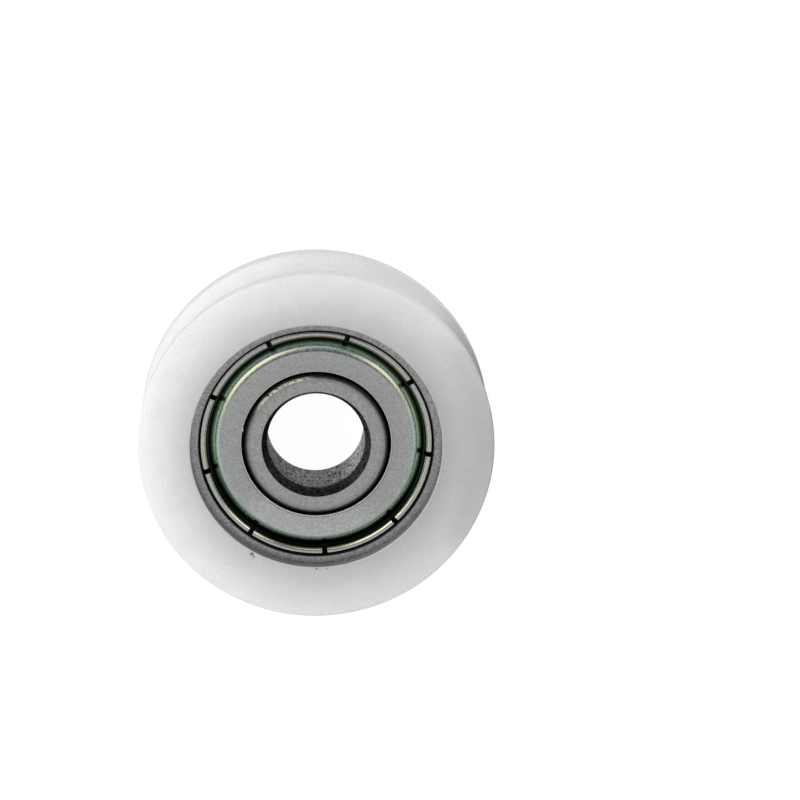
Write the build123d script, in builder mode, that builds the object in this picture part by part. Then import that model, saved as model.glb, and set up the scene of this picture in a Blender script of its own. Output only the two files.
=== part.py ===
from build123d import *
import math
import os

# U-groove pulley wheel: a moulded plastic wheel around a shielded ball bearing.
# It lies flat, with its axle line along Z and its origin in the middle of the bore.
# All sizes are in millimetres, and radii are measured from the axle line.

# Sizes of the bearing's rings
bore_diameter = 8.0
bearing_diameter = 22.0
bearing_width = 7.0
bore_corner_width = 0.47
bore_corner_depth = 1.1
inner_ring_round = 0.38
outer_ring_round = 0.3

# Sizes of the balls and of the grooves that they run in
ball_diameter = 3.969
ball_count = 7
ball_play = 0.02
raceway_conformity = 0.52
inner_shoulder_height = 0.53
outer_shoulder_height = 0.7

# Sizes of the riveted ribbon cage
cage_thickness = 0.3
pocket_play = 0.08
cage_side_gap = 0.45
rivet_diameter = 0.6
rivet_head_diameter = 1.1
rivet_head_height = 0.25

# Sizes of the pressed shields and of their seats in the outer ring
shield_thickness = 0.2
shield_hole_gap = 0.1
shield_sink = 0.17
step_run = 0.75
step_bend = 0.6
channel_span = 0.45
channel_bend = 0.09
rim_sink = 0.11
rim_width = 0.6
rim_flat = 0.06
seat_wall = 1.38
seat_depth = 1.0
seat_gap = 0.03
mouth_overhang = 0.12
mouth_chamfer = 0.08
slot_count = 9
slot_width = 0.44
slot_reach = 0.1
slot_start_angle = 33.9

# Sizes of the moulded wheel
hub_wall = 1.35
groove_depth = 2.15
groove_width = 6.0
groove_edge_round = 0.1
lip_thickness = 1.0
lip_overlap = 0.74
edge_round = 0.1

# Rings and raceways worked out from the sizes above
bore_radius = bore_diameter / 2
bearing_radius = bearing_diameter / 2
bearing_face = bearing_width / 2
ball_radius = ball_diameter / 2
pitch_radius = (bore_radius + bearing_radius) / 2
raceway_radius = raceway_conformity * ball_diameter
inner_race_bottom = pitch_radius - ball_radius - ball_play
outer_race_bottom = pitch_radius + ball_radius + ball_play
inner_shoulder_radius = inner_race_bottom + inner_shoulder_height
outer_shoulder_radius = outer_race_bottom - outer_shoulder_height

# Cage pockets and bands
pocket_radius = ball_radius + pocket_play
dome_radius = pocket_radius + cage_thickness
cage_inner_radius = inner_shoulder_radius + cage_side_gap
cage_outer_radius = outer_shoulder_radius - cage_side_gap
ball_spacing = 360 / ball_count
rivet_top = cage_thickness + rivet_head_height
rivet_crown = (rivet_head_diameter**2 / 4 + rivet_head_height**2) / (2 * rivet_head_height)

# Shield seat in the outer ring
seat_radius = bearing_radius - seat_wall
seat_floor = bearing_face - seat_depth
mouth_radius = seat_radius - mouth_overhang

# Underside of the shield's sheet, from its hole out to its rolled rim
shield_hole_radius = inner_shoulder_radius + shield_hole_gap
shield_flat_under = bearing_face - shield_sink - shield_thickness
rim_outer_radius = seat_radius - seat_gap
rim_inner_radius = rim_outer_radius - rim_width
rim_under = bearing_face - rim_sink - shield_thickness
inner_leg_under = rim_inner_radius + shield_thickness
outer_leg_under = rim_outer_radius - shield_thickness
step_foot = inner_leg_under - channel_span
step_top = step_foot - step_run
rim_bend = (rim_width - rim_flat) / 2 - shield_thickness

# Overhang of the seat's mouth, one seat gap outside the rolled rim at 45 degrees
rim_bend_radius = outer_leg_under - rim_bend
rim_bend_height = rim_under - rim_bend
mouth_line = math.sqrt(2) * (rim_bend + shield_thickness + seat_gap)
mouth_start = rim_bend_height + mouth_line - (seat_radius - rim_bend_radius)
mouth_end = rim_bend_height + mouth_line - (mouth_radius - rim_bend_radius)

# Wheel sizes that follow the bearing
wheel_radius = bearing_radius + hub_wall + groove_depth
wheel_face = bearing_face + lip_thickness
lip_radius = bearing_radius - lip_overlap
groove_radius = (groove_width**2 / 4 + groove_depth**2) / (2 * groove_depth)
groove_centre = wheel_radius - groove_depth + groove_radius


def corner(section, radius, height):
    """Return the corner of a section that lies at a radius and a height."""
    return section.vertices().sort_by_distance((radius, height, 0))[0]


os.makedirs("parts", exist_ok=True)

# Moulded wheel, one piece that holds the bearing between its two lips
with BuildPart() as wheel_body:
    with BuildSketch(Plane.XZ) as wheel_section:
        with BuildLine():
            Polyline(
                (bearing_radius, 0),
                (bearing_radius, bearing_face),
                (lip_radius, bearing_face),
                (lip_radius, wheel_face),
                (wheel_radius, wheel_face),
                (wheel_radius, 0),
                close=True,
            )
        make_face()
        with Locations((groove_centre, 0)):
            Circle(groove_radius, mode=Mode.SUBTRACT)
        fillet(corner(wheel_section, bearing_radius, bearing_face), outer_ring_round)
        fillet(corner(wheel_section, lip_radius, wheel_face), edge_round)
        fillet(corner(wheel_section, wheel_radius, wheel_face), edge_round)
        fillet(corner(wheel_section, wheel_radius, groove_width / 2), groove_edge_round)
        mirror(about=Plane.XZ)
    revolve(axis=Axis.Z)
wheel_body.part.label = "wheel_body"
export_step(wheel_body.part, "parts/wheel_body.step")

# Outer ring of the bearing, with a raceway and a shield seat at each end
with BuildPart() as outer_ring:
    with BuildSketch(Plane.XZ) as outer_ring_section:
        with BuildLine():
            Polyline(
                (bearing_radius, 0),
                (bearing_radius, bearing_face),
                (mouth_radius + mouth_chamfer, bearing_face),
                (mouth_radius, bearing_face - mouth_chamfer),
                (mouth_radius, mouth_end),
                (seat_radius, mouth_start),
                (seat_radius, seat_floor),
                (outer_shoulder_radius, seat_floor),
                (outer_shoulder_radius, 0),
                close=True,
            )
        make_face()
        with Locations((outer_race_bottom - raceway_radius, 0)):
            Circle(raceway_radius, mode=Mode.SUBTRACT)
        fillet(corner(outer_ring_section, bearing_radius, bearing_face), outer_ring_round)
        mirror(about=Plane.XZ)
    revolve(axis=Axis.Z)
outer_ring.part.label = "outer_ring"
export_step(outer_ring.part, "parts/outer_ring.step")

# Inner ring of the bearing, with the bore that goes on the axle
with BuildPart() as inner_ring:
    with BuildSketch(Plane.XZ) as inner_ring_section:
        with BuildLine():
            Polyline(
                (bore_radius, 0),
                (bore_radius, bearing_face - bore_corner_depth),
                (bore_radius + bore_corner_width, bearing_face),
                (inner_shoulder_radius, bearing_face),
                (inner_shoulder_radius, 0),
                close=True,
            )
        make_face()
        with Locations((inner_race_bottom + raceway_radius, 0)):
            Circle(raceway_radius, mode=Mode.SUBTRACT)
        fillet(corner(inner_ring_section, inner_shoulder_radius, bearing_face), inner_ring_round)
        mirror(about=Plane.XZ)
    revolve(axis=Axis.Z)
inner_ring.part.label = "inner_ring"
export_step(inner_ring.part, "parts/inner_ring.step")

# Balls, each in its own pocket of the cage
for number in range(ball_count):
    with BuildPart(Plane.XY.rotated((0, 0, number * ball_spacing))) as ball:
        with Locations((pitch_radius, 0)):
            Sphere(ball_radius)
    ball.part.label = f"ball_{number + 1}"
    export_step(ball.part, f"parts/ball_{number + 1}.step")

# Front half of the cage: a pressed band with a dome over each ball and a flat between
with BuildPart() as cage_front:
    with PolarLocations(pitch_radius, ball_count):
        Sphere(dome_radius)
    with BuildSketch():
        Circle(cage_outer_radius)
    extrude(amount=cage_thickness)
    with BuildSketch():
        Circle(cage_outer_radius)
        Circle(cage_inner_radius, mode=Mode.SUBTRACT)
    extrude(amount=dome_radius, mode=Mode.INTERSECT)
    with PolarLocations(pitch_radius, ball_count):
        Sphere(pocket_radius, mode=Mode.SUBTRACT)
    with PolarLocations(pitch_radius, ball_count, start_angle=ball_spacing / 2):
        Hole(rivet_diameter / 2)
cage_front.part.label = "cage_front"
export_step(cage_front.part, "parts/cage_front.step")

# Back half of the cage, the same pressing turned over
with BuildPart() as cage_back:
    mirror(cage_front.part, about=Plane.XY)
cage_back.part.label = "cage_back"
export_step(cage_back.part, "parts/cage_back.step")

# One cage rivet, with a domed head on each flat
with BuildPart() as rivet:
    with BuildSketch(Plane.XZ):
        with BuildLine():
            Polyline(
                (0, rivet_top),
                (0, 0),
                (rivet_diameter / 2, 0),
                (rivet_diameter / 2, cage_thickness),
                (rivet_head_diameter / 2, cage_thickness),
            )
            RadiusArc((rivet_head_diameter / 2, cage_thickness), (0, rivet_top), -rivet_crown)
        make_face()
        mirror(about=Plane.XZ)
    revolve(axis=Axis.Z)

# Rivets that close the cage, one between each two balls
with BuildPart() as cage_rivets:
    with PolarLocations(pitch_radius, ball_count, start_angle=ball_spacing / 2):
        add(rivet.part)
cage_rivets.part.label = "cage_rivets"
export_step(cage_rivets.part, "parts/cage_rivets.step")

# Front shield: pressed sheet with a stepped channel and a rolled rim cut into tabs
with BuildPart() as shield_front:
    with BuildSketch(Plane.XZ):
        with BuildLine():
            FilletPolyline(
                (shield_hole_radius, shield_flat_under),
                (step_top, shield_flat_under),
                (step_foot, seat_floor),
                (inner_leg_under, seat_floor),
                (inner_leg_under, rim_under),
                (outer_leg_under, rim_under),
                (outer_leg_under, seat_floor),
                radius=(
                    step_bend,
                    channel_bend + shield_thickness,
                    channel_bend + shield_thickness,
                    rim_bend,
                    rim_bend,
                ),
            )
            offset(amount=shield_thickness, side=Side.LEFT)
        make_face()
    revolve(axis=Axis.Z)
    with PolarLocations(rim_inner_radius - slot_reach, slot_count, slot_start_angle):
        Box(
            bearing_radius - rim_inner_radius,
            slot_width,
            bearing_width,
            align=(Align.MIN, Align.CENTER, Align.CENTER),
            mode=Mode.SUBTRACT,
        )
shield_front.part.label = "shield_front"
export_step(shield_front.part, "parts/shield_front.step")

# Back shield, the same pressing turned over
with BuildPart() as shield_back:
    mirror(shield_front.part, about=Plane.XY)
shield_back.part.label = "shield_back"
export_step(shield_back.part, "parts/shield_back.step")
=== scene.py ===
"""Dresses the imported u-groove pulley wheel and sets up its camera and studio.

The wheel lies on its back face with its axle line along Z. Sizes in the classes are millimetres,
radii are measured from the axle line and heights from the middle of the bore. A clock is a
direction across the front face in degrees: 0 along +Y, 90 along +X.
"""

import logging
import math
from abc import ABC, abstractmethod
from collections.abc import Sequence
from dataclasses import dataclass
from enum import Enum
from functools import reduce

import bmesh
import bpy
from mathutils import Matrix, Vector


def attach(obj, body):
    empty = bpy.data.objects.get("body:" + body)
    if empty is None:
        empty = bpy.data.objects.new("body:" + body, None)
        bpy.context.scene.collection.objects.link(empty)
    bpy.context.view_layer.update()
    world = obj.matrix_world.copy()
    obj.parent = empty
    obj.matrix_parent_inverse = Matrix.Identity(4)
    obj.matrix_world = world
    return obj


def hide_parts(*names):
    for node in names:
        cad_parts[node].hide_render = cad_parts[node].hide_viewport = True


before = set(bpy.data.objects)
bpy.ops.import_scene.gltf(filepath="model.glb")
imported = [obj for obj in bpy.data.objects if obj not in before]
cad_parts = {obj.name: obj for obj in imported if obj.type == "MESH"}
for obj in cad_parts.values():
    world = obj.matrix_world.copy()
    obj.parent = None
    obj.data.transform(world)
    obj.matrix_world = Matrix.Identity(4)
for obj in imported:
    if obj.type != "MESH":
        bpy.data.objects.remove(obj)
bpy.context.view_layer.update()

MM = 0.001
SUPPORT_GAP = 0.02 * MM
SUPPORT_LIMIT = 0.9
MERGE_GAP = 1e-3 * MM
CUT_GAP = 1e-5 * MM
CREASE_ANGLE = math.radians(38.0)
BEARING_RADIUS = 11.0
BEARING_FACE = 3.5
RACE_RADIUS = 2.0639
RACE_STEPS = 12
GRAIN_SIZE = 0.17
GRAIN_LEVELS = (0.3, 0.7)
MIX_INPUTS = (0, 6, 7)
MIX_RESULT = 2
VECTORS = ("Point", "Way")
LOG = logging.getLogger("pulley")

Colour = tuple[float, float, float]
Point = tuple[float, float, float]
Span = tuple[float, float]
Stop = tuple[float, Colour]
Socket = bpy.types.NodeSocket
Node = bpy.types.Node
Sockets = bpy.types.bpy_prop_collection
NodeTree = bpy.types.NodeTree
Material = bpy.types.Material
Object = bpy.types.Object
Mesh = bmesh.types.BMesh


class Side(Enum):
    """The two ends of the bearing, with the sign of their height."""

    FRONT = 1.0
    BACK = -1.0


@dataclass(frozen=True)
class Corner:
    """One corner of a section, in millimetres, with the radius that rounds it."""

    radius: float
    height: float
    rounding: float = 0.0
    steps: int = 6


class Section:
    """An outline in the plane of radius and height that is turned about the axle line."""

    def __init__(self, radius: float, height: float) -> None:
        """Start the outline.

        Args:
            radius: Radius of the first point in millimetres.
            height: Height of the first point in millimetres.
        """
        self.mesh = bmesh.new()
        self.tip = self.mesh.verts.new((radius * MM, 0.0, height * MM))
        self.rounded: list[tuple[bmesh.types.BMVert, Corner]] = []

    def run(self, *corners: Corner) -> None:
        """Draw straight runs from corner to corner.

        Args:
            corners: Corners in the order in which the outline meets them.
        """
        for corner in corners:
            self.tip = bmesh.ops.extrude_vert_indiv(self.mesh, verts=[self.tip])["verts"][0]
            self.tip.co = Vector((corner.radius, 0.0, corner.height)) * MM
            if corner.rounding > 0.0:
                self.rounded.append((self.tip, corner))

    def arc(self, radius: float, degrees: float, steps: int) -> None:
        """Draw an arc from the tip about a centre at the middle height.

        Args:
            radius: Radius of the arc's centre in millimetres.
            degrees: Angle of the arc, counter-clockwise with the radius to the right.
            steps: Number of chords.
        """
        arc = bmesh.ops.spin(
            self.mesh, geom=[self.tip], cent=(radius * MM, 0.0, 0.0), axis=(0.0, -1.0, 0.0),
            angle=math.radians(degrees), steps=steps, use_merge=False, use_duplicate=False,
        )
        self.tip = arc["geom_last"][0]

    def round_corners(self) -> None:
        """Round each marked corner, with a close support point on either side."""
        for vertex, corner in self.rounded:
            ways = [edge.other_vert(vertex).co - vertex.co for edge in vertex.link_edges]
            half_turn = (math.pi - ways[0].angle(ways[1])) / 2.0
            reach = corner.rounding * MM * math.tan(half_turn)
            for edge in list(vertex.link_edges):
                fraction = (reach + SUPPORT_GAP) / edge.calc_length()
                if fraction < SUPPORT_LIMIT:
                    bmesh.utils.edge_split(edge, vertex, fraction)
            bmesh.ops.bevel(
                self.mesh, geom=[vertex], offset=reach, offset_type="OFFSET",
                segments=corner.steps, profile=0.5, affect="VERTICES", material=-1,
            )

    def turn(self, steps: int, mirrored: bool = True) -> Mesh:
        """Round the corners and turn the outline once about the axle line.

        Args:
            steps: Number of segments round the ring.
            mirrored: Whether the outline ends on the middle plane and repeats beyond it.

        Returns:
            The mesh of the turned surface, with its normals made consistent.
        """
        self.round_corners()
        if mirrored:
            self.tip.co.z = 0.0
            bmesh.ops.mirror(
                self.mesh, geom=self.mesh.verts[:] + self.mesh.edges[:],
                matrix=Matrix.Identity(4), merge_dist=MERGE_GAP, axis="Z",
            )
        bmesh.ops.spin(
            self.mesh, geom=self.mesh.verts[:] + self.mesh.edges[:], cent=(0.0, 0.0, 0.0),
            axis=(0.0, 0.0, 1.0), angle=math.tau, steps=steps, use_merge=True,
            use_duplicate=False,
        )
        bmesh.ops.recalc_face_normals(self.mesh, faces=self.mesh.faces[:])
        return self.mesh


def grey(level: float) -> Colour:
    """Return the grey of one level."""
    return (level, level, level)


def grey_stops(levels: Sequence[Span]) -> list[Stop]:
    """Return the stops of a ramp from radii with grey levels."""
    return [(radius, grey(level)) for radius, level in levels]


def across_face(clock: float) -> Point:
    """Return the unit vector of a clock direction."""
    return (math.sin(math.radians(clock)), math.cos(math.radians(clock)), 0.0)


def finish_piece(name: str, mesh: Mesh, material: Material) -> Object:
    """Turn a working mesh into a smooth-shaded object at the origin.

    Args:
        name: Name of the piece.
        mesh: Working mesh, which is freed.
        material: Finish of the piece.

    Returns:
        The new object, linked to the scene.
    """
    data = bpy.data.meshes.new(name)
    mesh.to_mesh(data)
    mesh.free()
    data.shade_smooth()
    data.set_sharp_from_angle(angle=CREASE_ANGLE)
    data.materials.append(material)
    piece = bpy.data.objects.new(name, data)
    bpy.context.scene.collection.objects.link(piece)
    return piece


class Wiring:
    """Adds nodes to one shader tree and joins them."""

    def __init__(self, tree: NodeTree) -> None:
        """Keep the tree to work on."""
        self.tree = tree

    def feed(self, socket: Socket, value: object) -> None:
        """Join a socket to another, or set its plain value.

        Args:
            socket: Input to fill.
            value: Another node's output, a number, a colour or a vector.
        """
        if isinstance(value, Socket):
            self.tree.links.new(value, socket)
        elif socket.type == "RGBA":
            socket.default_value = (*value, 1.0)
        else:
            socket.default_value = value

    def node(self, kind: str, inputs: dict | None = None, **settings: object) -> Node:
        """Add a node.

        Args:
            kind: Type name of the node.
            inputs: Values or outputs for the named inputs.
            settings: Properties of the node.

        Returns:
            The new node.
        """
        node = self.tree.nodes.new(kind)
        for name, value in settings.items():
            setattr(node, name, value)
        for name, value in (inputs or {}).items():
            self.feed(node.inputs[name], value)
        return node

    def maths(self, operation: str, first: object, second: object = 0.0) -> Socket:
        """Return the outcome of one sum on two values."""
        node = self.node("ShaderNodeMath", {0: first, 1: second}, operation=operation)
        return node.outputs[0]

    def times(self, *values: object) -> Socket:
        """Return the product of two or more values."""
        return reduce(lambda product, value: self.maths("MULTIPLY", product, value), values)

    def vector(self, operation: str, first: object, second: object = (0.0, 0.0, 0.0)) -> Node:
        """Return a node that works on one or two vectors."""
        return self.node("ShaderNodeVectorMath", {0: first, 1: second}, operation=operation)

    def split(self, vector: object) -> Sockets:
        """Return the outputs X, Y and Z of a vector."""
        return self.node("ShaderNodeSeparateXYZ", {0: vector}).outputs

    def join(self, x: object, y: object, z: object = 0.0) -> Socket:
        """Return the vector of three values."""
        return self.node("ShaderNodeCombineXYZ", {"X": x, "Y": y, "Z": z}).outputs[0]

    def ease(
        self, value: object, low: float, high: float, start: float = 0.0, end: float = 1.0
    ) -> Socket:
        """Change smoothly from one level to another as a value goes from low to high.

        Args:
            value: Value to read.
            low: Value at which the level is start.
            high: Value at which the level is end, above low or below it.
            start: Level at low.
            end: Level at high.

        Returns:
            The level.
        """
        names = {"Value": value, "From Min": low, "From Max": high, "To Min": start, "To Max": end}
        node = self.node("ShaderNodeMapRange", names, interpolation_type="SMOOTHSTEP")
        return node.outputs["Result"]

    def band(self, value: object, low: float, high: float, soft: float) -> Socket:
        """Mask the values between two limits.

        Args:
            value: Value to read.
            low: Lower limit.
            high: Upper limit.
            soft: Distance on each side of a limit over which the mask fades.

        Returns:
            The mask.
        """
        rise = self.ease(value, low - soft, low + soft)
        fall = self.ease(value, high - soft, high + soft, 1.0, 0.0)
        return self.times(rise, fall)

    def swing(self, value: object, contrast: object) -> Socket:
        """Return a shade factor about 1 from a value about one half."""
        return self.maths("ADD", self.times(self.maths("SUBTRACT", value, 0.5), contrast), 1.0)

    def blend(self, amount: object, first: object, second: object, how: str = "MIX") -> Socket:
        """Mix two colours.

        Args:
            amount: Share of the second colour.
            first: Colour at 0.
            second: Colour at 1, or what the first is multiplied by.
            how: Name of the way to mix.

        Returns:
            The mixed colour.
        """
        node = self.node("ShaderNodeMix", data_type="RGBA", blend_type=how)
        for index, value in zip(MIX_INPUTS, (amount, first, second)):
            self.feed(node.inputs[index], value)
        return node.outputs[MIX_RESULT]

    def shade(self, colour: object, factor: object) -> Socket:
        """Return a colour or vector times a factor."""
        node = self.node("ShaderNodeVectorMath", {0: colour, "Scale": factor}, operation="SCALE")
        return node.outputs[0]

    def ramp(self, value: object, stops: Sequence[Stop]) -> Socket:
        """Lay colours out along a value.

        Args:
            value: Value to read, in the unit of the stops.
            stops: Places along the value with their colours, in rising order.

        Returns:
            The colour at the value.
        """
        low, high = stops[0][0], stops[-1][0]
        place = self.node("ShaderNodeMapRange", {"Value": value, "From Min": low, "From Max": high})
        node = self.node("ShaderNodeValToRGB", {"Fac": place.outputs["Result"]})
        row = node.color_ramp.elements
        while len(row) < len(stops):
            row.new(1.0)
        for element, (stop, colour) in zip(row, stops):
            element.position = (stop - low) / (high - low)
            element.color = (*colour, 1.0)
        return node.outputs["Color"]

    def noise(self, vector: object, scale: object, detail: float, rough: float) -> Socket:
        """Return a noise value about one half, with its scale in features per unit."""
        names = {"Vector": vector, "Scale": scale, "Detail": detail, "Roughness": rough}
        return self.node("ShaderNodeTexNoise", names).outputs[0]

    def group(self, tree: NodeTree, inputs: dict | None = None) -> Sockets:
        """Place a node group with its own values and return its outputs."""
        return self.node("ShaderNodeGroup", inputs, node_tree=tree).outputs


class Effects:
    """Node groups for the effects that several finishes share, each built once."""

    grain_layers: Span = (3.0, 0.6)
    patch_layers: Span = (1.5, 0.5)
    line_layers: Span = (2.0, 0.6)
    line_breaks: float = 1.5
    mask_levels: Span = (0.42, 0.62)

    def __init__(self) -> None:
        """Build the groups."""
        self.place = self.make_place()
        self.grain = self.make_noise("fine grain", *self.grain_layers)
        self.patches = self.make_noise("soft patches", *self.patch_layers)
        self.lines = self.make_lines()

    def start(
        self, name: str, inputs: Sequence[str], outputs: Sequence[str]
    ) -> tuple[Wiring, Sockets]:
        """Open a node group.

        Args:
            name: Name of the group.
            inputs: Names of its inputs.
            outputs: Names of its outputs.

        Returns:
            The wiring, and the values that enter the group.
        """
        tree = bpy.data.node_groups.new(name, "ShaderNodeTree")
        for way, labels in (("INPUT", inputs), ("OUTPUT", outputs)):
            for label in labels:
                kind = "NodeSocketVector" if label in VECTORS else "NodeSocketFloat"
                tree.interface.new_socket(label, in_out=way, socket_type=kind)
        wiring = Wiring(tree)
        return wiring, wiring.node("NodeGroupInput").outputs

    def make_place(self) -> NodeTree:
        """Build the group that places a point on the wheel.

        Returns:
            The group: the point, its radius, its height off the middle plane and its way out.
        """
        wiring, _ = self.start("wheel place", (), ("Point", "Radius", "Height", "Way"))
        spot = wiring.node("ShaderNodeTexCoord").outputs["Object"]
        point = wiring.shade(spot, 1.0 / MM)
        parts = wiring.split(point)
        flat = wiring.join(parts["X"], parts["Y"])
        wiring.node("NodeGroupOutput", {
            "Point": point,
            "Radius": wiring.vector("LENGTH", flat).outputs["Value"],
            "Height": wiring.maths("ABSOLUTE", parts["Z"]),
            "Way": wiring.vector("NORMALIZE", flat).outputs[0],
        })
        return wiring.tree

    def make_noise(self, name: str, detail: float, rough: float) -> NodeTree:
        """Build a group of one noise.

        Args:
            name: Name of the group.
            detail: Number of finer layers.
            rough: Strength of each finer layer.

        Returns:
            The group: a shade factor about 1, the bare grain and a mask of its high parts.
        """
        outputs = ("Shade", "Grain", "Mask")
        wiring, entry = self.start(name, ("Point", "Size", "Contrast"), outputs)
        scale = wiring.maths("DIVIDE", 1.0, entry["Size"])
        grain = wiring.noise(entry["Point"], scale, detail, rough)
        shade = wiring.swing(grain, entry["Contrast"])
        mask = wiring.ease(grain, *self.mask_levels)
        wiring.node("NodeGroupOutput", {"Shade": shade, "Grain": grain, "Mask": mask})
        return wiring.tree

    def make_lines(self) -> NodeTree:
        """Build the group of fine lines that turning leaves, which fade in and out.

        Returns:
            The group: a shade factor about 1 and the bare lines.
        """
        inputs = ("Radius", "Height", "Way", "Pitch", "Contrast")
        wiring, entry = self.start("turned lines", inputs, ("Shade", "Lines"))
        across = wiring.maths("ADD", entry["Radius"], entry["Height"])
        row = wiring.maths("DIVIDE", across, entry["Pitch"])
        parts = wiring.split(wiring.shade(entry["Way"], self.line_breaks))
        along = wiring.join(parts["X"], parts["Y"], row)
        lines = wiring.noise(along, 1.0, *self.line_layers)
        shade = wiring.swing(lines, entry["Contrast"])
        wiring.node("NodeGroupOutput", {"Shade": shade, "Lines": lines})
        return wiring.tree


class Paint(Wiring):
    """The wiring of one material, with its shader."""

    def __init__(self, name: str) -> None:
        """Open a material.

        Args:
            name: Name of the material.
        """
        self.material = bpy.data.materials.new(name)
        self.material.use_nodes = True
        super().__init__(self.material.node_tree)
        self.shader = self.tree.nodes["Principled BSDF"]

    def set(self, **values: object) -> None:
        """Set or join the shader's inputs, named with underscores for spaces."""
        for name, value in values.items():
            self.feed(self.shader.inputs[name.replace("_", " ")], value)


class Coat(Paint):
    """The wiring of a finish, with the shared effects and each point's place on the wheel."""

    def __init__(self, name: str, effects: Effects) -> None:
        """Open a material.

        Args:
            name: Name of the material.
            effects: Shared node groups.
        """
        super().__init__(name)
        self.effects = effects
        place = self.group(effects.place)
        self.point, self.radius, self.height, self.way = place

    def grain(self, size: float, contrast: float, point: Socket | None = None) -> Sockets:
        """Place the fine grain, on the wheel's own point or on another."""
        values = {"Point": point or self.point, "Size": size, "Contrast": contrast}
        return self.group(self.effects.grain, values)

    def lines(self, pitch: float, contrast: float) -> Sockets:
        """Place the turned lines."""
        place = {"Radius": self.radius, "Height": self.height, "Way": self.way}
        return self.group(self.effects.lines, place | {"Pitch": pitch, "Contrast": contrast})

    def patches(self, size: float, contrast: float) -> Sockets:
        """Place the soft patches."""
        values = {"Point": self.point, "Size": size, "Contrast": contrast}
        return self.group(self.effects.patches, values)

    def bump(self, height: Socket, depth: float) -> Socket:
        """Return a normal roughened by a height, with the depth in millimetres."""
        inputs = {"Height": height, "Distance": depth * MM, "Strength": 1.0}
        return self.node("ShaderNodeBump", inputs).outputs["Normal"]

    def gap(self, place: Point) -> Socket:
        """Return the distance to a place."""
        return self.vector("DISTANCE", self.point, place).outputs["Value"]

    def patch(self, clock: float, spread: float, core: float) -> Socket:
        """Mask a soft patch round one clock direction.

        Args:
            clock: Middle of the patch in degrees.
            spread: Half of its width in degrees.
            core: Share of the spread where the mask is full.

        Returns:
            The mask.
        """
        near = self.vector("DOT_PRODUCT", self.way, across_face(clock)).outputs["Value"]
        edge, full = (math.cos(math.radians(angle)) for angle in (spread, spread * core))
        return self.ease(near, edge, full)


@dataclass(frozen=True)
class Zone:
    """A part of the wheel round one clock direction, and the strength of its effect.

    Its mask rises from the first radius to the second, or with softness is a band between them.
    """

    clock: float
    spread: float
    radii: Span
    strength: float
    softness: float = 0.0
    core: float = 0.4

    def mask(self, coat: Coat) -> Socket:
        """Mask the zone.

        Args:
            coat: Wiring of the material.

        Returns:
            The mask.
        """
        if self.softness:
            across = coat.band(coat.radius, *self.radii, self.softness)
        else:
            across = coat.ease(coat.radius, *self.radii)
        return coat.times(coat.patch(self.clock, self.spread, self.core), across)

    def tone(self, coat: Coat, colour: Socket) -> Socket:
        """Return a colour that is multiplied by the strength inside the zone."""
        return coat.shade(colour, coat.ease(self.mask(coat), 0.0, 1.0, 1.0, self.strength))


@dataclass(frozen=True)
class Finish(ABC):
    """A finish, which opens its material here and paints it in its own class."""

    name: str

    def build(self, effects: Effects) -> Material:
        """Build the material.

        Args:
            effects: Shared node groups.

        Returns:
            The material.
        """
        coat = Coat(self.name, effects)
        self.paint(coat)
        return coat.material

    @abstractmethod
    def paint(self, coat: Coat) -> None:
        """Set the shader's inputs."""


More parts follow.
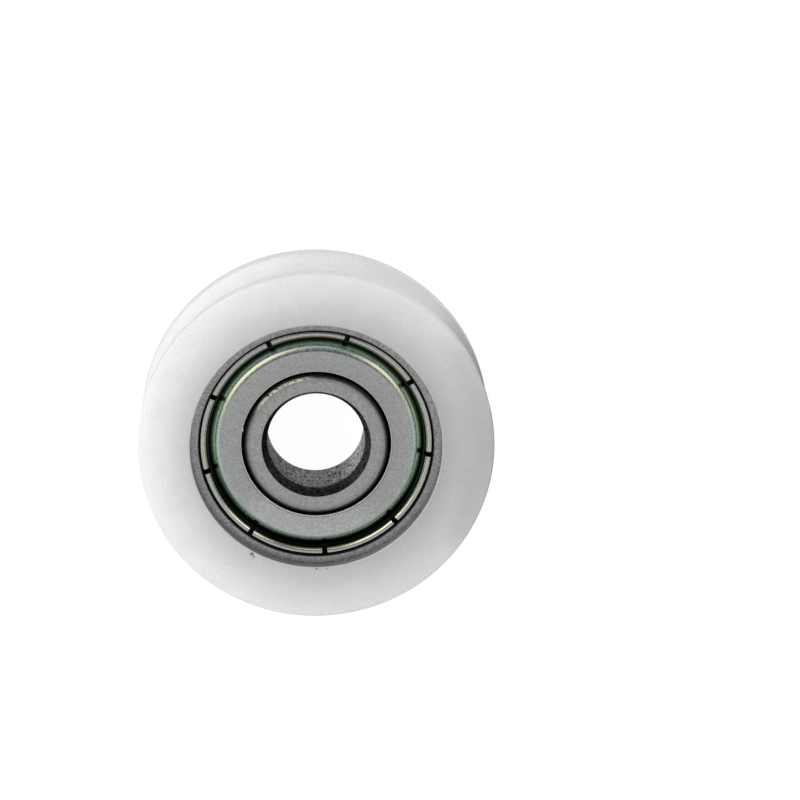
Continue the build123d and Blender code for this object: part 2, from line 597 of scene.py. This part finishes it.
@dataclass(frozen=True)
class NylonFinish(Finish):
    """White moulded nylon that lets light in, with painted shade where steel lies close under it,
    on the lip's wall and on its right side.

    Its clouds, grain and lines are each a size in millimetres and a contrast.
    """

    name: str = "white_nylon"
    clouds: Span = (2.2, 0.10)
    fine: Span = (GRAIN_SIZE, 0.22)
    turned: Span = (0.22, 0.03)
    roughness: Span = (0.42, 0.5)
    relief: float = 0.006
    refraction: float = 1.53
    glow_weight: float = 0.2
    glow_depth: float = 0.8
    face: float = 4.5
    # Painted shade: the greys darken toward the bearing, where steel lies close under the nylon,
    # and a little at the outer edge.
    greys_and_shade: tuple[Span, ...] = (
        (10.2, 0.50), (10.6, 0.555), (11.4, 0.62), (12.6, 0.735), (14.0, 0.82), (14.3, 0.825),
        (14.45, 0.805),
    )
    # Painted shade: the lip's wall beside the bearing's outer ring is dark grey.
    lip_shade_grey: float = 0.16
    lip_radii: Span = (10.29, 10.265)
    lip_heights: Span = (4.43, 4.25)
    # Painted shade: the face darkens toward its right side, round clock 90.
    right_side_shade: Zone = Zone(90.0, 48.0, (10.8, 14.2), 0.80)
    dirt_colour: Colour = grey(0.10)
    dirt_strength: float = 0.85
    specks: tuple[Point, ...] = (
        (10.48, 210.8, 0.21), (10.60, 209.4, 0.13), (10.36, 180.4, 0.13), (10.38, 175.8, 0.09),
        (10.37, 178.9, 0.05), (12.35, 217.9, 0.04), (13.05, 106.0, 0.05), (12.75, 99.0, 0.05),
    )
    speck_core: float = 0.45
    scratch_radius: float = 0.62
    scratch_centre: Span = (-0.62, -12.72)
    scratch_width: float = 0.045
    scratch_rise: float = 0.55
    scratch_fade: float = 0.08
    scratch_strength: float = 0.7

    def paint(self, coat: Coat) -> None:
        """Set the shader's inputs.

        Args:
            coat: Wiring of the material.
        """
        cloudy = coat.patches(*self.clouds)
        fine = coat.grain(*self.fine)
        turned = coat.lines(*self.turned)
        # Painted shade on the lip's wall.
        lip_wall_shade = coat.times(
            coat.ease(coat.radius, *self.lip_radii),
            coat.ease(coat.height, *self.lip_heights),
        )
        soft = coat.ramp(coat.radius, grey_stops(self.greys_and_shade))
        soft = coat.blend(lip_wall_shade, soft, grey(self.lip_shade_grey))
        shades = (part["Shade"] for part in (cloudy, fine, turned))
        # The colour with its random tone and the right side's painted shade.
        colour = self.right_side_shade.tone(coat, coat.shade(soft, coat.times(*shades)))
        relief = coat.maths("ADD", fine["Grain"], turned["Lines"])
        coat.set(
            Base_Color=coat.blend(self.dirt(coat), colour, self.dirt_colour),
            Roughness=coat.ease(cloudy["Mask"], 0.0, 1.0, *self.roughness),
            IOR=self.refraction, Normal=coat.bump(relief, self.relief),
            Subsurface_Weight=self.glow_weight, Subsurface_Scale=self.glow_depth * MM,
            Subsurface_Radius=grey(1.0),
        )

    def dirt(self, coat: Coat) -> Socket:
        """Mask the specks of dirt on the front face and the one short scratch.

        Args:
            coat: Wiring of the material.

        Returns:
            The mask.
        """
        mask = self.scratch(coat)
        for radius, clock, size in self.specks:
            place = (*(radius * part for part in across_face(clock)[:2]), self.face)
            speck = coat.ease(coat.gap(place), size, size * self.speck_core)
            mask = coat.maths("MAXIMUM", mask, speck)
        return coat.times(mask, self.dirt_strength)

    def scratch(self, coat: Coat) -> Socket:
        """Mask the scratch, the lower part of a small circle.

        Args:
            coat: Wiring of the material.

        Returns:
            The mask.
        """
        gap = coat.gap((*self.scratch_centre, self.face))
        arc = coat.band(gap, self.scratch_radius, self.scratch_radius, self.scratch_width)
        top = self.scratch_centre[1] - self.scratch_radius * self.scratch_rise
        low = coat.ease(coat.split(coat.point)["Y"], top, top - self.scratch_fade)
        return coat.times(arc, low, self.scratch_strength)


@dataclass(frozen=True)
class RingFinish(Finish):
    """Ground bearing steel, with painted shade that darkens its corners and the edges beside the
    gaps.
    """

    greys_and_shade: tuple[Span, ...]
    contrast: float
    turned: Span = (0.05, 0.12)
    roughness: Span = (0.34, 0.5)
    relief: float = 0.004
    edge_tint: Colour = grey(0.2)
    race: Colour = grey(0.55)
    race_heights: Span = (2.0, 2.3)

    def paint(self, coat: Coat) -> None:
        """Set the shader's inputs.

        Args:
            coat: Wiring of the material.
        """
        fine = coat.grain(GRAIN_SIZE, self.contrast)
        turned = coat.lines(*self.turned)
        tone = coat.times(fine["Shade"], turned["Shade"])
        colour = coat.shade(coat.ramp(coat.radius, grey_stops(self.greys_and_shade)), tone)
        colour = coat.blend(coat.ease(coat.height, *self.race_heights), self.race, colour)
        relief = coat.maths("ADD", fine["Grain"], turned["Lines"])
        coat.set(
            Base_Color=self.mark(coat, colour), Metallic=1.0,
            Roughness=coat.ease(fine["Grain"], *GRAIN_LEVELS, *self.roughness),
            Specular_Tint=self.edge_tint, Normal=coat.bump(relief, self.relief),
        )

    def mark(self, coat: Coat, colour: Socket) -> Socket:
        """Return the colour with the ring's own marks, here none."""
        return colour


@dataclass(frozen=True)
class BoreRingFinish(RingFinish):
    """The same steel on the inner ring, whose bore is darker and coarser than its face, with
    painted shade on the bore's corner and a painted highlight on its wall.
    """

    bore_corner: float = 2.4
    corner_fade: Span = (0.08, -0.32)
    # Painted shade: the bore's corner is near black.
    corner_shade_grey: float = 0.06
    wall_grey: float = 0.29
    wall_radii: Span = (4.475, 4.455)
    wall_stretch: Point = (1.0, 1.0, 0.5)
    wall_grain: Span = (0.19, 4.6)
    # Painted highlight on the bore's wall round clock 94, and its strength.
    painted_bore_highlight: Point = (94.0, 60.0, 0.4)
    painted_bore_highlight_gain: float = 1.3
    # Light yellowish specks along the outer edge of the ring's face.
    edge_specks: Zone = Zone(329.0, 32.0, (5.53, 5.77), 0.85, 0.05, 0.5)
    crumb_size: float = 0.26
    crumb_levels: Span = (0.34, 0.54)
    edge_speck_colour: Colour = (0.95, 0.90, 0.74)

    def mark(self, coat: Coat, colour: Socket) -> Socket:
        """Add the bore's wall, with its painted shade and painted highlight, and the light specks
        along the edge of the ring's face.

        Args:
            coat: Wiring of the material.
            colour: Colour of the ground steel.

        Returns:
            The colour with both.
        """
        drawn = coat.vector("MULTIPLY", coat.point, self.wall_stretch).outputs[0]
        coarse = coat.grain(*self.wall_grain, drawn)
        corner, wall = (self.bore_corner + fade for fade in self.corner_fade)
        below = coat.ease(coat.height, corner, wall)
        # Painted highlight on the bore's wall, then painted shade on its corner.
        gain = coat.times(coat.patch(*self.painted_bore_highlight), self.painted_bore_highlight_gain)
        bore = coat.blend(below, grey(self.corner_shade_grey), grey(self.wall_grey))
        bore = coat.shade(bore, coat.maths("ADD", gain, 1.0))
        bore = coat.shade(bore, coarse["Shade"])
        colour = coat.blend(coat.ease(coat.radius, *self.wall_radii), colour, bore)
        crumbs = coat.grain(self.crumb_size, 1.0)["Grain"]
        crumbs = coat.ease(crumbs, *self.crumb_levels)
        edge_specks = coat.times(self.edge_specks.mask(coat), crumbs, self.edge_specks.strength)
        return coat.blend(edge_specks, colour, self.edge_speck_colour)


@dataclass(frozen=True)
class ShieldFinish(Finish):
    """Pressed sheet with a thin yellow-green plated film that shows on its bends, painted shade in
    its channel and lower half, and painted highlights on its hole's edge and the step.
    """

    name: str = "plated_shield"
    # The sheet's colours by radius: a painted highlight on the hole's sheared edge with painted
    # shade just beside it, the grey flat, the plated tint on the step, and painted shade that
    # darkens the channel to near black.
    sheet: tuple[Stop, ...] = (
        (6.12, (0.66, 0.65, 0.52)), (6.17, (0.46, 0.46, 0.41)),
        (6.21, (0.33, 0.33, 0.31)), (6.36, (0.375, 0.365, 0.362)),
        (7.6, (0.40, 0.388, 0.386)), (7.9, (0.39, 0.405, 0.385)),
        (8.04, (0.43, 0.50, 0.46)), (8.2, (0.45, 0.58, 0.56)),
        (8.4, (0.34, 0.48, 0.52)), (8.53, (0.115, 0.165, 0.19)),
        (8.65, (0.05, 0.075, 0.08)), (8.85, (0.02, 0.028, 0.025)),
        (9.0, (0.012, 0.016, 0.014)),
    )
    # The rim's colours by radius: a bright yellow inner bend, a grey top, and painted shade that
    # darkens the outer leg toward the seat's gap.
    rim: tuple[Stop, ...] = (
        (8.99, (1.0, 0.96, 0.50)), (9.08, (0.86, 0.85, 0.56)),
        (9.18, (0.46, 0.455, 0.45)), (9.42, (0.44, 0.44, 0.44)),
        (9.52, (0.1, 0.1, 0.1)),
    )
    rim_radii: Span = (8.94, 8.97)
    rim_heights: Span = (2.8, 3.1)
    sheet_roughness: Span = (0.17, 0.25)
    relief: float = 0.0004
    teal: Colour = (0.93, 1.04, 1.03)
    teal_size: float = 0.3
    teal_levels: Span = (0.4, 0.62)
    # Painted highlight: a golden tint on the two upper stretches of the step, where the key lamps'
    # highlights fall.
    gold_highlight: Colour = (0.60, 0.60, 0.43)
    gold_highlight_patches: tuple[Point, ...] = ((322.0, 40.0, 0.4), (48.0, 34.0, 0.4))
    gold_highlight_inside: Span = (7.9, 8.02)
    gold_highlight_outside: Span = (8.38, 8.14)
    tones_with_painted_light: tuple[Zone, ...] = (
        # Painted shade: the lower half of the step is darker.
        Zone(190.0, 95.0, (8.1, 8.27), 0.45),
        # The flat is lighter toward the bottom.
        Zone(187.0, 55.0, (8.0, 7.8), 1.2),
        # Painted shade: a dark line beside the hole's edge in the lower half.
        Zone(180.0, 100.0, (6.27, 6.32), 0.55, 0.03),
        # Painted highlight: the hole's sheared edge is lighter in the lower half.
        Zone(180.0, 100.0, (6.14, 6.20), 1.45, 0.03),
    )
    bend_inside: Span = (7.85, 8.05)
    bend_outside: Span = (8.3, 8.15)
    bend_levels: Span = (-0.15, 1.0)
    bend_roughness: float = 0.09
    slope: Zone = Zone(0.0, 75.0, (8.3, 8.5), 0.12, 0.1)

    def paint(self, coat: Coat) -> None:
        """Set the shader's inputs.

        Args:
            coat: Wiring of the material.
        """
        fine = coat.grain(GRAIN_SIZE, 1.0)
        colour = self.plating_and_painted_light(coat)
        # Painted shade and highlights, and the flat lighter toward the bottom.
        for zone in self.tones_with_painted_light:
            colour = zone.tone(coat, colour)
        on_rim = coat.times(
            coat.ease(coat.radius, *self.rim_radii),
            coat.ease(coat.height, *self.rim_heights),
        )
        colour = coat.blend(on_rim, colour, coat.ramp(coat.radius, self.rim))
        coat.set(
            Base_Color=coat.shade(colour, fine["Shade"]), Metallic=1.0,
            Roughness=self.roughness(coat, fine["Grain"]),
            Normal=coat.bump(fine["Grain"], self.relief),
        )

    def plating_and_painted_light(self, coat: Coat) -> Socket:
        """Colour the sheet, teal in places, with its ramp's painted light and a painted golden
        highlight on the two upper stretches of the step.

        Args:
            coat: Wiring of the material.

        Returns:
            The colour.
        """
        tint = coat.grain(self.teal_size, 1.0)["Grain"]
        sheet = coat.ramp(coat.radius, self.sheet)
        cooler = coat.blend(1.0, sheet, self.teal, "MULTIPLY")
        sheet = coat.blend(coat.ease(tint, *self.teal_levels), sheet, cooler)
        # Painted highlight: golden on the upper stretches of the step.
        gold_highlight = coat.times(
            coat.maths("MAXIMUM", *(coat.patch(*place) for place in self.gold_highlight_patches)),
            coat.ease(coat.radius, *self.gold_highlight_outside),
            coat.ease(coat.radius, *self.gold_highlight_inside),
        )
        return coat.blend(gold_highlight, sheet, self.gold_highlight)

    def roughness(self, coat: Coat, grain: Socket) -> Socket:
        """Vary the roughness with the grain, the bend of the step and the slope below it.

        Args:
            coat: Wiring of the material.
            grain: Fine grain of the sheet.

        Returns:
            The roughness.
        """
        rough = coat.ease(grain, *GRAIN_LEVELS, *self.sheet_roughness)
        bend = coat.times(
            coat.ease(coat.radius, *self.bend_inside),
            coat.ease(coat.radius, *self.bend_outside, *self.bend_levels),
            self.bend_roughness,
        )
        slope = coat.times(self.slope.mask(coat), self.slope.strength)
        return coat.maths("ADD", coat.maths("ADD", rough, bend), slope)


@dataclass(frozen=True)
class PlainSteelFinish(Finish):
    """Bright steel for the balls, and duller steel for the pressed and riveted pieces."""

    colour: Colour
    roughness: float
    contrast: float
    grain_size: float = 0.12
    film_size: float = 0.9
    patch_gain: float = 1.4

    def paint(self, coat: Coat) -> None:
        """Set the shader's inputs.

        Args:
            coat: Wiring of the material.
        """
        fine = coat.grain(self.grain_size, self.contrast)
        film = coat.patches(self.film_size, self.contrast)
        tone = coat.times(fine["Shade"], film["Shade"])
        duller = self.roughness * self.patch_gain
        rough = coat.ease(film["Mask"], 0.0, 1.0, self.roughness, duller)
        coat.set(Base_Color=coat.shade(self.colour, tone), Metallic=1.0, Roughness=rough)


@dataclass
class MouldedWheel:
    """The nylon wheel, moulded in one piece round the bearing."""

    bearing_round: float = 0.3
    lip_radius: float = 10.26
    wheel_radius: float = 14.5
    wheel_face: float = 4.5
    edge_round: float = 0.1
    groove_edge: float = 3.0
    groove_edge_round: float = 0.1
    groove_centre: float = 15.518
    groove_steps: int = 20
    steps: int = 288

    def build(self, material: Material) -> Object:
        """Build the wheel.

        Args:
            material: Its nylon finish.

        Returns:
            The new piece.
        """
        section = Section(BEARING_RADIUS, 0.0)
        section.run(
            Corner(BEARING_RADIUS, BEARING_FACE, self.bearing_round),
            Corner(self.lip_radius, BEARING_FACE),
            Corner(self.lip_radius, self.wheel_face, self.edge_round),
            Corner(self.wheel_radius, self.wheel_face, self.edge_round),
            Corner(self.wheel_radius, self.groove_edge, self.groove_edge_round),
        )
        offset = self.wheel_radius - self.groove_centre
        sweep = 180.0 - math.degrees(math.atan2(self.groove_edge, offset))
        section.arc(self.groove_centre, sweep, self.groove_steps)
        piece = finish_piece("nylon_wheel", section.turn(self.steps), material)
        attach(piece, "wheel")
        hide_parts("wheel_body")
        return piece


@dataclass
class OuterRing:
    """The bearing's outer ring, with its raceway and the seats of both shields."""

    corner_round: float = 0.3
    mouth_radius: float = 9.5
    mouth_chamfer: float = 0.08
    mouth_start: float = 3.2443
    mouth_end: float = 3.3643
    seat_radius: float = 9.62
    seat_floor: float = 2.5
    shoulder_radius: float = 8.8045
    race_centre: float = 7.4406
    steps: int = 256

    def build(self, material: Material) -> Object:
        """Build the ring.

        Args:
            material: Its ground steel finish.

        Returns:
            The new piece.
        """
        section = Section(BEARING_RADIUS, 0.0)
        reach = self.shoulder_radius - self.race_centre
        race_height = math.sqrt(RACE_RADIUS**2 - reach**2)
        section.run(
            Corner(BEARING_RADIUS, BEARING_FACE, self.corner_round),
            Corner(self.mouth_radius + self.mouth_chamfer, BEARING_FACE),
            Corner(self.mouth_radius, BEARING_FACE - self.mouth_chamfer),
            Corner(self.mouth_radius, self.mouth_end),
            Corner(self.seat_radius, self.mouth_start),
            Corner(self.seat_radius, self.seat_floor),
            Corner(self.shoulder_radius, self.seat_floor),
            Corner(self.shoulder_radius, race_height),
        )
        sweep = -math.degrees(math.atan2(race_height, reach))
        section.arc(self.race_centre, sweep, RACE_STEPS)
        piece = finish_piece("turned_outer_ring", section.turn(self.steps), material)
        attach(piece, "wheel")
        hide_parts("outer_ring")
        return piece


@dataclass
class InnerRing:
    """The bearing's inner ring, which goes on the axle."""

    bore_radius: float = 4.0
    bore_corner_width: float = 0.47
    bore_corner_depth: float = 1.1
    corner_round: float = 0.38
    shoulder_radius: float = 6.0255
    race_centre: float = 7.5594
    face_break: float = 0.03
    break_steps: int = 3
    bore_break: float = 1.2
    steps: int = 224

    def build(self, material: Material) -> Object:
        """Build the ring.

        Args:
            material: Its ground steel finish.

        Returns:
            The new piece.
        """
        reach = self.race_centre - self.shoulder_radius
        race_height = math.sqrt(RACE_RADIUS**2 - reach**2)
        face_edge = self.bore_radius + self.bore_corner_width
        section = Section(self.race_centre - RACE_RADIUS, 0.0)
        sweep = -math.degrees(math.atan2(race_height, reach))
        section.arc(self.race_centre, sweep, RACE_STEPS)
        section.run(
            Corner(self.shoulder_radius, BEARING_FACE, self.corner_round),
            Corner(face_edge, BEARING_FACE, self.face_break, self.break_steps),
            Corner(self.bore_radius, BEARING_FACE - self.bore_corner_depth, self.bore_break),
            Corner(self.bore_radius, 0.0),
        )
        piece = finish_piece("turned_inner_ring", section.turn(self.steps), material)
        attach(piece, "inner_ring")
        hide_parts("inner_ring")
        return piece


@dataclass
class Shield:
    """A pressed sheet shield with a stepped channel and a rolled rim that is cut into tabs.

    Its sizes are of the sheet's underside, which gets the thickness on its upper side.
    """

    side: Side
    thickness: float = 0.2
    hole_radius: float = 6.1255
    flat_under: float = 3.13
    step_top: float = 7.99
    step_foot: float = 8.74
    floor_under: float = 2.5
    inner_leg: float = 9.19
    outer_leg: float = 9.39
    rim_under: float = 3.19
    step_bend: float = 0.6
    bend_steps: int = 10
    channel_bend: float = 0.29
    rim_bend: float = 0.07
    slot_count: int = 9
    slot_width: float = 0.44
    slot_start: float = 33.9
    slot_inner: float = 8.89
    edge_break: float = 0.03
    edge_support: float = 0.06
    sheared_angle: float = 60.0
    steps: int = 270

    def build(self, material: Material) -> Object:
        """Build the shield.

        Args:
            material: Its plated finish.

        Returns:
            The new piece.
        """
        section = Section(self.hole_radius, self.flat_under)
        section.run(
            Corner(self.hole_radius + self.edge_support, self.flat_under),
            Corner(self.step_top, self.flat_under, self.step_bend, self.bend_steps),
            Corner(self.step_foot, self.floor_under, self.channel_bend),
            Corner(self.inner_leg, self.floor_under, self.channel_bend),
            Corner(self.inner_leg, self.rim_under, self.rim_bend),
            Corner(self.outer_leg, self.rim_under, self.rim_bend),
            Corner(self.outer_leg, self.floor_under),
        )
        sheet = section.turn(self.steps, mirrored=False)
        if sum(face.normal.z for face in sheet.faces) > 0.0:
            bmesh.ops.reverse_faces(sheet, faces=sheet.faces[:])
        for number in range(self.slot_count):
            self.cut_slot(sheet, math.radians(self.slot_start + number * 360.0 / self.slot_count))
        bmesh.ops.solidify(sheet, geom=sheet.faces[:], thickness=self.thickness * MM)
        bmesh.ops.recalc_face_normals(sheet, faces=sheet.faces[:])
        self.break_hole(sheet)
        bmesh.ops.scale(sheet, vec=(1.0, 1.0, self.side.value), verts=sheet.verts[:])
        bmesh.ops.recalc_face_normals(sheet, faces=sheet.faces[:])
        name = self.side.name.lower()
        piece = finish_piece(f"pressed_{name}_shield", sheet, material)
        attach(piece, "wheel")
        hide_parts(f"shield_{name}")
        return piece

    def break_hole(self, sheet: Mesh) -> None:
        """Round the two sheared edges of the hole.

        Args:
            sheet: Sheet with its thickness.
        """
        limit = (self.hole_radius + self.edge_break) * MM
        sheared = [edge for edge in sheet.edges
                   if edge.calc_face_angle(0.0) > math.radians(self.sheared_angle)
                   and all(vertex.co.xy.length < limit for vertex in edge.verts)]
        bmesh.ops.bevel(
            sheet, geom=sheared, offset=self.edge_break * MM, offset_type="OFFSET", segments=2,
            profile=0.5, affect="EDGES", material=-1, clamp_overlap=True,
        )

    def cut_slot(self, sheet: Mesh, angle: float) -> None:
        """Cut one slot through the rolled rim.

        Args:
            sheet: Sheet before it gets its thickness.
            angle: Direction of the slot from the X axis in radians.
        """
        along = Vector((math.cos(angle), math.sin(angle), 0.0))
        across = Vector((-along.y, along.x, 0.0))
        half = self.slot_width / 2.0 * MM
        inner = self.slot_inner * MM

        def tab(reach: float) -> list[bmesh.types.BMFace]:
            """Find the faces that reach past the slot's inner end.

            Args:
                reach: Distance beside the slot's middle line up to which faces count.

            Returns:
                The faces.
            """
            return [face for face in sheet.faces
                    if abs(face.calc_center_median().dot(across)) < reach
                    and any(vertex.co.dot(along) > inner for vertex in face.verts)]

        for point, normal, reach in (
            (across * half, across, half * 2.0),
            (across * -half, across, half * 2.0),
            (along * inner, along, half),
        ):
            geom = {part for face in tab(reach) for part in (face, *face.edges, *face.verts)}
            bmesh.ops.bisect_plane(
                sheet, geom=list(geom), dist=CUT_GAP, plane_co=point, plane_no=normal
            )
        gone = [face for face in tab(half) if face.calc_center_median().dot(along) > inner]
        bmesh.ops.delete(sheet, geom=gone, context="FACES")


@dataclass
class BallSet:
    """The balls and the riveted cage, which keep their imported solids."""

    ball_count: int = 7

    def dress(self, ball: Material, cage: Material) -> list[str]:
        """Give the balls and the cage their finishes.

        Args:
            ball: Bright steel for the balls.
            cage: Duller steel for the cage and its rivets.

        Returns:
            The names of the nodes.
        """
        finishes = {f"ball_{number + 1}": ball for number in range(self.ball_count)}
        finishes |= {"cage_front": cage, "cage_back": cage, "cage_rivets": cage}
        for name, material in finishes.items():
            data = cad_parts[name].data
            data.materials.clear()
            data.materials.append(material)
        return list(finishes)


@dataclass(frozen=True)
class PhotoCamera:
    """The camera above the front face, at the photograph's viewing angle."""

    distance: float = 0.243
    toward: Point = (-0.011, 0.287, 0.958)
    aim_right: float = 7.0
    aim_up: float = 2.62
    lens: float = 132.1
    sensor: float = 36.0
    clip: Span = (0.01, 10.0)

    def build(self) -> None:
        """Build the camera and make it the scene's own."""
        right, up, back = self.axes(Vector(self.toward))
        place = back * self.distance
        aim = (right * self.aim_right + up * self.aim_up) * MM
        turn = Matrix(self.axes(place - aim)).transposed()
        data = bpy.data.cameras.new("photo_camera")
        data.lens = self.lens
        data.sensor_width = self.sensor
        data.clip_start, data.clip_end = self.clip
        camera = bpy.data.objects.new("photo_camera", data)
        camera.matrix_world = Matrix.Translation(place) @ turn.to_4x4()
        bpy.context.scene.collection.objects.link(camera)
        bpy.context.scene.camera = camera

    def axes(self, back: Vector) -> tuple[Vector, Vector, Vector]:
        """Return the right, up and back of a camera that faces away from back, Y upright."""
        right = Vector((0.0, 1.0, 0.0)).cross(back).normalized()
        return right, back.cross(right).normalized(), back.normalized()


@dataclass(frozen=True)
class Softbox:
    """A flat rectangular lamp that faces the wheel: clock and tilt from upright, then metres."""

    name: str
    clock: float
    tilt: float
    distance: float
    width: float
    depth: float
    brightness: float
    mirrored: bool = True

    def build(self) -> None:
        """Build the lamp, with its brightness as the white level of its face."""
        data = bpy.data.lights.new(self.name, "AREA")
        data.shape = "RECTANGLE"
        data.size = self.width
        data.size_y = self.depth
        data.energy = self.brightness * math.pi * self.width * self.depth
        lamp = bpy.data.objects.new(self.name, data)
        tilt = math.radians(self.tilt)
        way = Vector(across_face(self.clock)) * math.sin(tilt)
        way.z = math.cos(tilt)
        turn = way.to_track_quat("Z", "Y").to_matrix().to_4x4()
        lamp.matrix_world = Matrix.Translation(way * self.distance) @ turn
        lamp.visible_camera = False
        lamp.visible_glossy = self.mirrored
        bpy.context.scene.collection.objects.link(lamp)


LAMPS = (
    Softbox("overhead_softbox", 180.0, 28.0, 0.45, 0.84, 0.42, 0.6),
    Softbox("left_key", 308.0, 45.0, 0.45, 0.33, 0.26, 1.55),
    Softbox("right_key", 58.0, 43.0, 0.45, 0.18, 0.22, 1.6),
    Softbox("left_fill", 258.0, 46.0, 0.45, 0.26, 0.20, 0.45),
    Softbox("right_fill", 100.0, 46.0, 0.45, 0.22, 0.20, 0.40),
    Softbox("left_strip", 318.0, 68.0, 0.45, 0.30, 0.10, 1.5),
    Softbox("right_strip", 48.0, 68.0, 0.45, 0.24, 0.10, 1.1),
    Softbox("back_card", 0.0, 48.0, 0.45, 0.24, 0.20, 0.55),
    Softbox("far_card", 18.0, 79.0, 0.50, 0.60, 0.20, 2.9, mirrored=False),
    Softbox("front_side_card", 185.0, 85.0, 0.50, 0.60, 0.12, 2.4, mirrored=False),
    Softbox("left_side_card", 275.0, 85.0, 0.50, 0.60, 0.12, 2.4, mirrored=False),
    Softbox("right_side_card", 95.0, 85.0, 0.50, 0.60, 0.12, 2.4, mirrored=False),
    Softbox("near_card", 277.0, 50.0, 0.062, 0.03, 0.03, 4.4, mirrored=False),
)


@dataclass(frozen=True)
class Studio:
    """The white surroundings, the floor, the lamps and a black card."""

    room_low: float = 0.05
    room_high: float = 0.20
    room_turn: float = 0.6
    floor_size: float = 1.6
    floor_height: float = -4.51
    floor_glow: float = 0.95
    floor_colour: Colour = grey(0.15)
    floor_roughness: float = 0.9
    flag_place: Span = (20.5, 1.5)
    flag_size: Span = (15.0, 36.0)
    flag_colour: Colour = grey(0.02)

    def build(self) -> None:
        """Build the surroundings, the floor, the lamps and the card."""
        self.build_room()
        self.build_floor()
        for lamp in LAMPS:
            lamp.build()
        self.build_flag()

    def build_flag(self) -> None:
        """Hang a black card beside the wheel, which keeps light off its right side."""
        width, height = self.flag_size
        place = Vector((*self.flag_place, self.floor_height + height / 2.0)) * MM
        turn = Matrix.Rotation(math.pi / 2.0, 3, "Y")
        mesh = bmesh.new()
        bmesh.ops.create_grid(mesh, x_segments=1, y_segments=1, size=0.5)
        bmesh.ops.rotate(mesh, matrix=turn, verts=mesh.verts[:])
        bmesh.ops.scale(mesh, vec=(1.0, width * MM, height * MM), verts=mesh.verts[:])
        bmesh.ops.translate(mesh, vec=place, verts=mesh.verts[:])
        paint = Paint("black_card")
        paint.set(Base_Color=self.flag_colour, Roughness=1.0)
        flag = finish_piece("black_card", mesh, paint.material)
        flag.visible_camera = False
        flag.visible_glossy = False

    def build_room(self) -> None:
        """Make the world white to the eye and, as a light, grey that darkens to the horizon."""
        world = bpy.data.worlds.new("studio_room")
        world.use_nodes = True
        bpy.context.scene.world = world
        wiring = Wiring(world.node_tree)
        glow = world.node_tree.nodes["Background"]
        rays = wiring.node("ShaderNodeLightPath").outputs
        way = wiring.node("ShaderNodeTexCoord").outputs["Generated"]
        up = wiring.split(way)["Z"]
        light = wiring.ease(up, 0.0, self.room_turn, self.room_low, self.room_high)
        level = wiring.maths("MAXIMUM", light, rays["Is Camera Ray"])
        wiring.feed(glow.inputs["Color"], grey(1.0))
        wiring.feed(glow.inputs["Strength"], level)

    def build_floor(self) -> None:
        """Make the pale floor, which keeps the wheel's faint shadow."""
        mesh = bmesh.new()
        bmesh.ops.create_grid(mesh, x_segments=1, y_segments=1, size=self.floor_size / 2.0)
        bmesh.ops.translate(mesh, vec=(0.0, 0.0, self.floor_height * MM), verts=mesh.verts[:])
        paint = Paint("pale_floor")
        rays = paint.node("ShaderNodeLightPath").outputs
        seen = paint.maths("MAXIMUM", rays["Is Camera Ray"], rays["Is Glossy Ray"])
        seen = paint.maths("MAXIMUM", seen, rays["Is Transmission Ray"])
        paint.set(
            Base_Color=self.floor_colour, Roughness=self.floor_roughness,
            Emission_Color=grey(1.0), Emission_Strength=paint.times(seen, self.floor_glow),
        )
        floor = finish_piece("pale_floor", mesh, paint.material)


# Grey levels by radius. Painted shade: the outer ring goes near black in the shield's seat and
# darker beside the nylon lip; the inner ring darkens to near black toward its outer corner and is
# dark on its bore's corner.
OUTER_RING_GREYS_AND_SHADE = (
    (9.5, 0.012), (9.62, 0.03), (9.68, 0.37), (10.0, 0.40), (10.12, 0.42), (10.2, 0.42),
    (10.3, 0.38),
)
INNER_RING_GREYS_AND_SHADE = (
    (4.0, 0.05), (4.3, 0.06), (4.455, 0.075), (4.48, 0.42), (5.3, 0.42), (5.42, 0.36),
    (5.58, 0.30), (5.68, 0.10), (5.78, 0.03), (5.9, 0.012),
)


def main() -> None:
    """Build the camera, the studio and every piece."""
    logging.basicConfig(level=logging.INFO, format="%(name)s: %(message)s")
    bpy.context.scene.view_settings.view_transform = "Standard"
    PhotoCamera().build()
    Studio().build()
    effects = Effects()
    nylon = NylonFinish().build(effects)
    outer_steel = RingFinish("ground_outer_ring", OUTER_RING_GREYS_AND_SHADE, 2.4).build(effects)
    inner_steel = BoreRingFinish("ground_inner_ring", INNER_RING_GREYS_AND_SHADE, 1.6).build(effects)
    plated = ShieldFinish().build(effects)
    bright = PlainSteelFinish("polished_ball", (0.30, 0.30, 0.31), 0.25, 0.06)
    dull = PlainSteelFinish("pressed_cage", (0.20, 0.195, 0.19), 0.45, 0.4)
    pieces = [
        MouldedWheel().build(nylon),
        OuterRing().build(outer_steel),
        InnerRing().build(inner_steel),
        Shield(Side.FRONT).build(plated),
        Shield(Side.BACK).build(plated),
    ]
    for piece in pieces:
        LOG.info("%s: %d faces", piece.name, len(piece.data.polygons))
    for name in BallSet().dress(bright.build(effects), dull.build(effects)):
        LOG.info("%s: dressed", name)


if __name__ == "__main__":
    main()
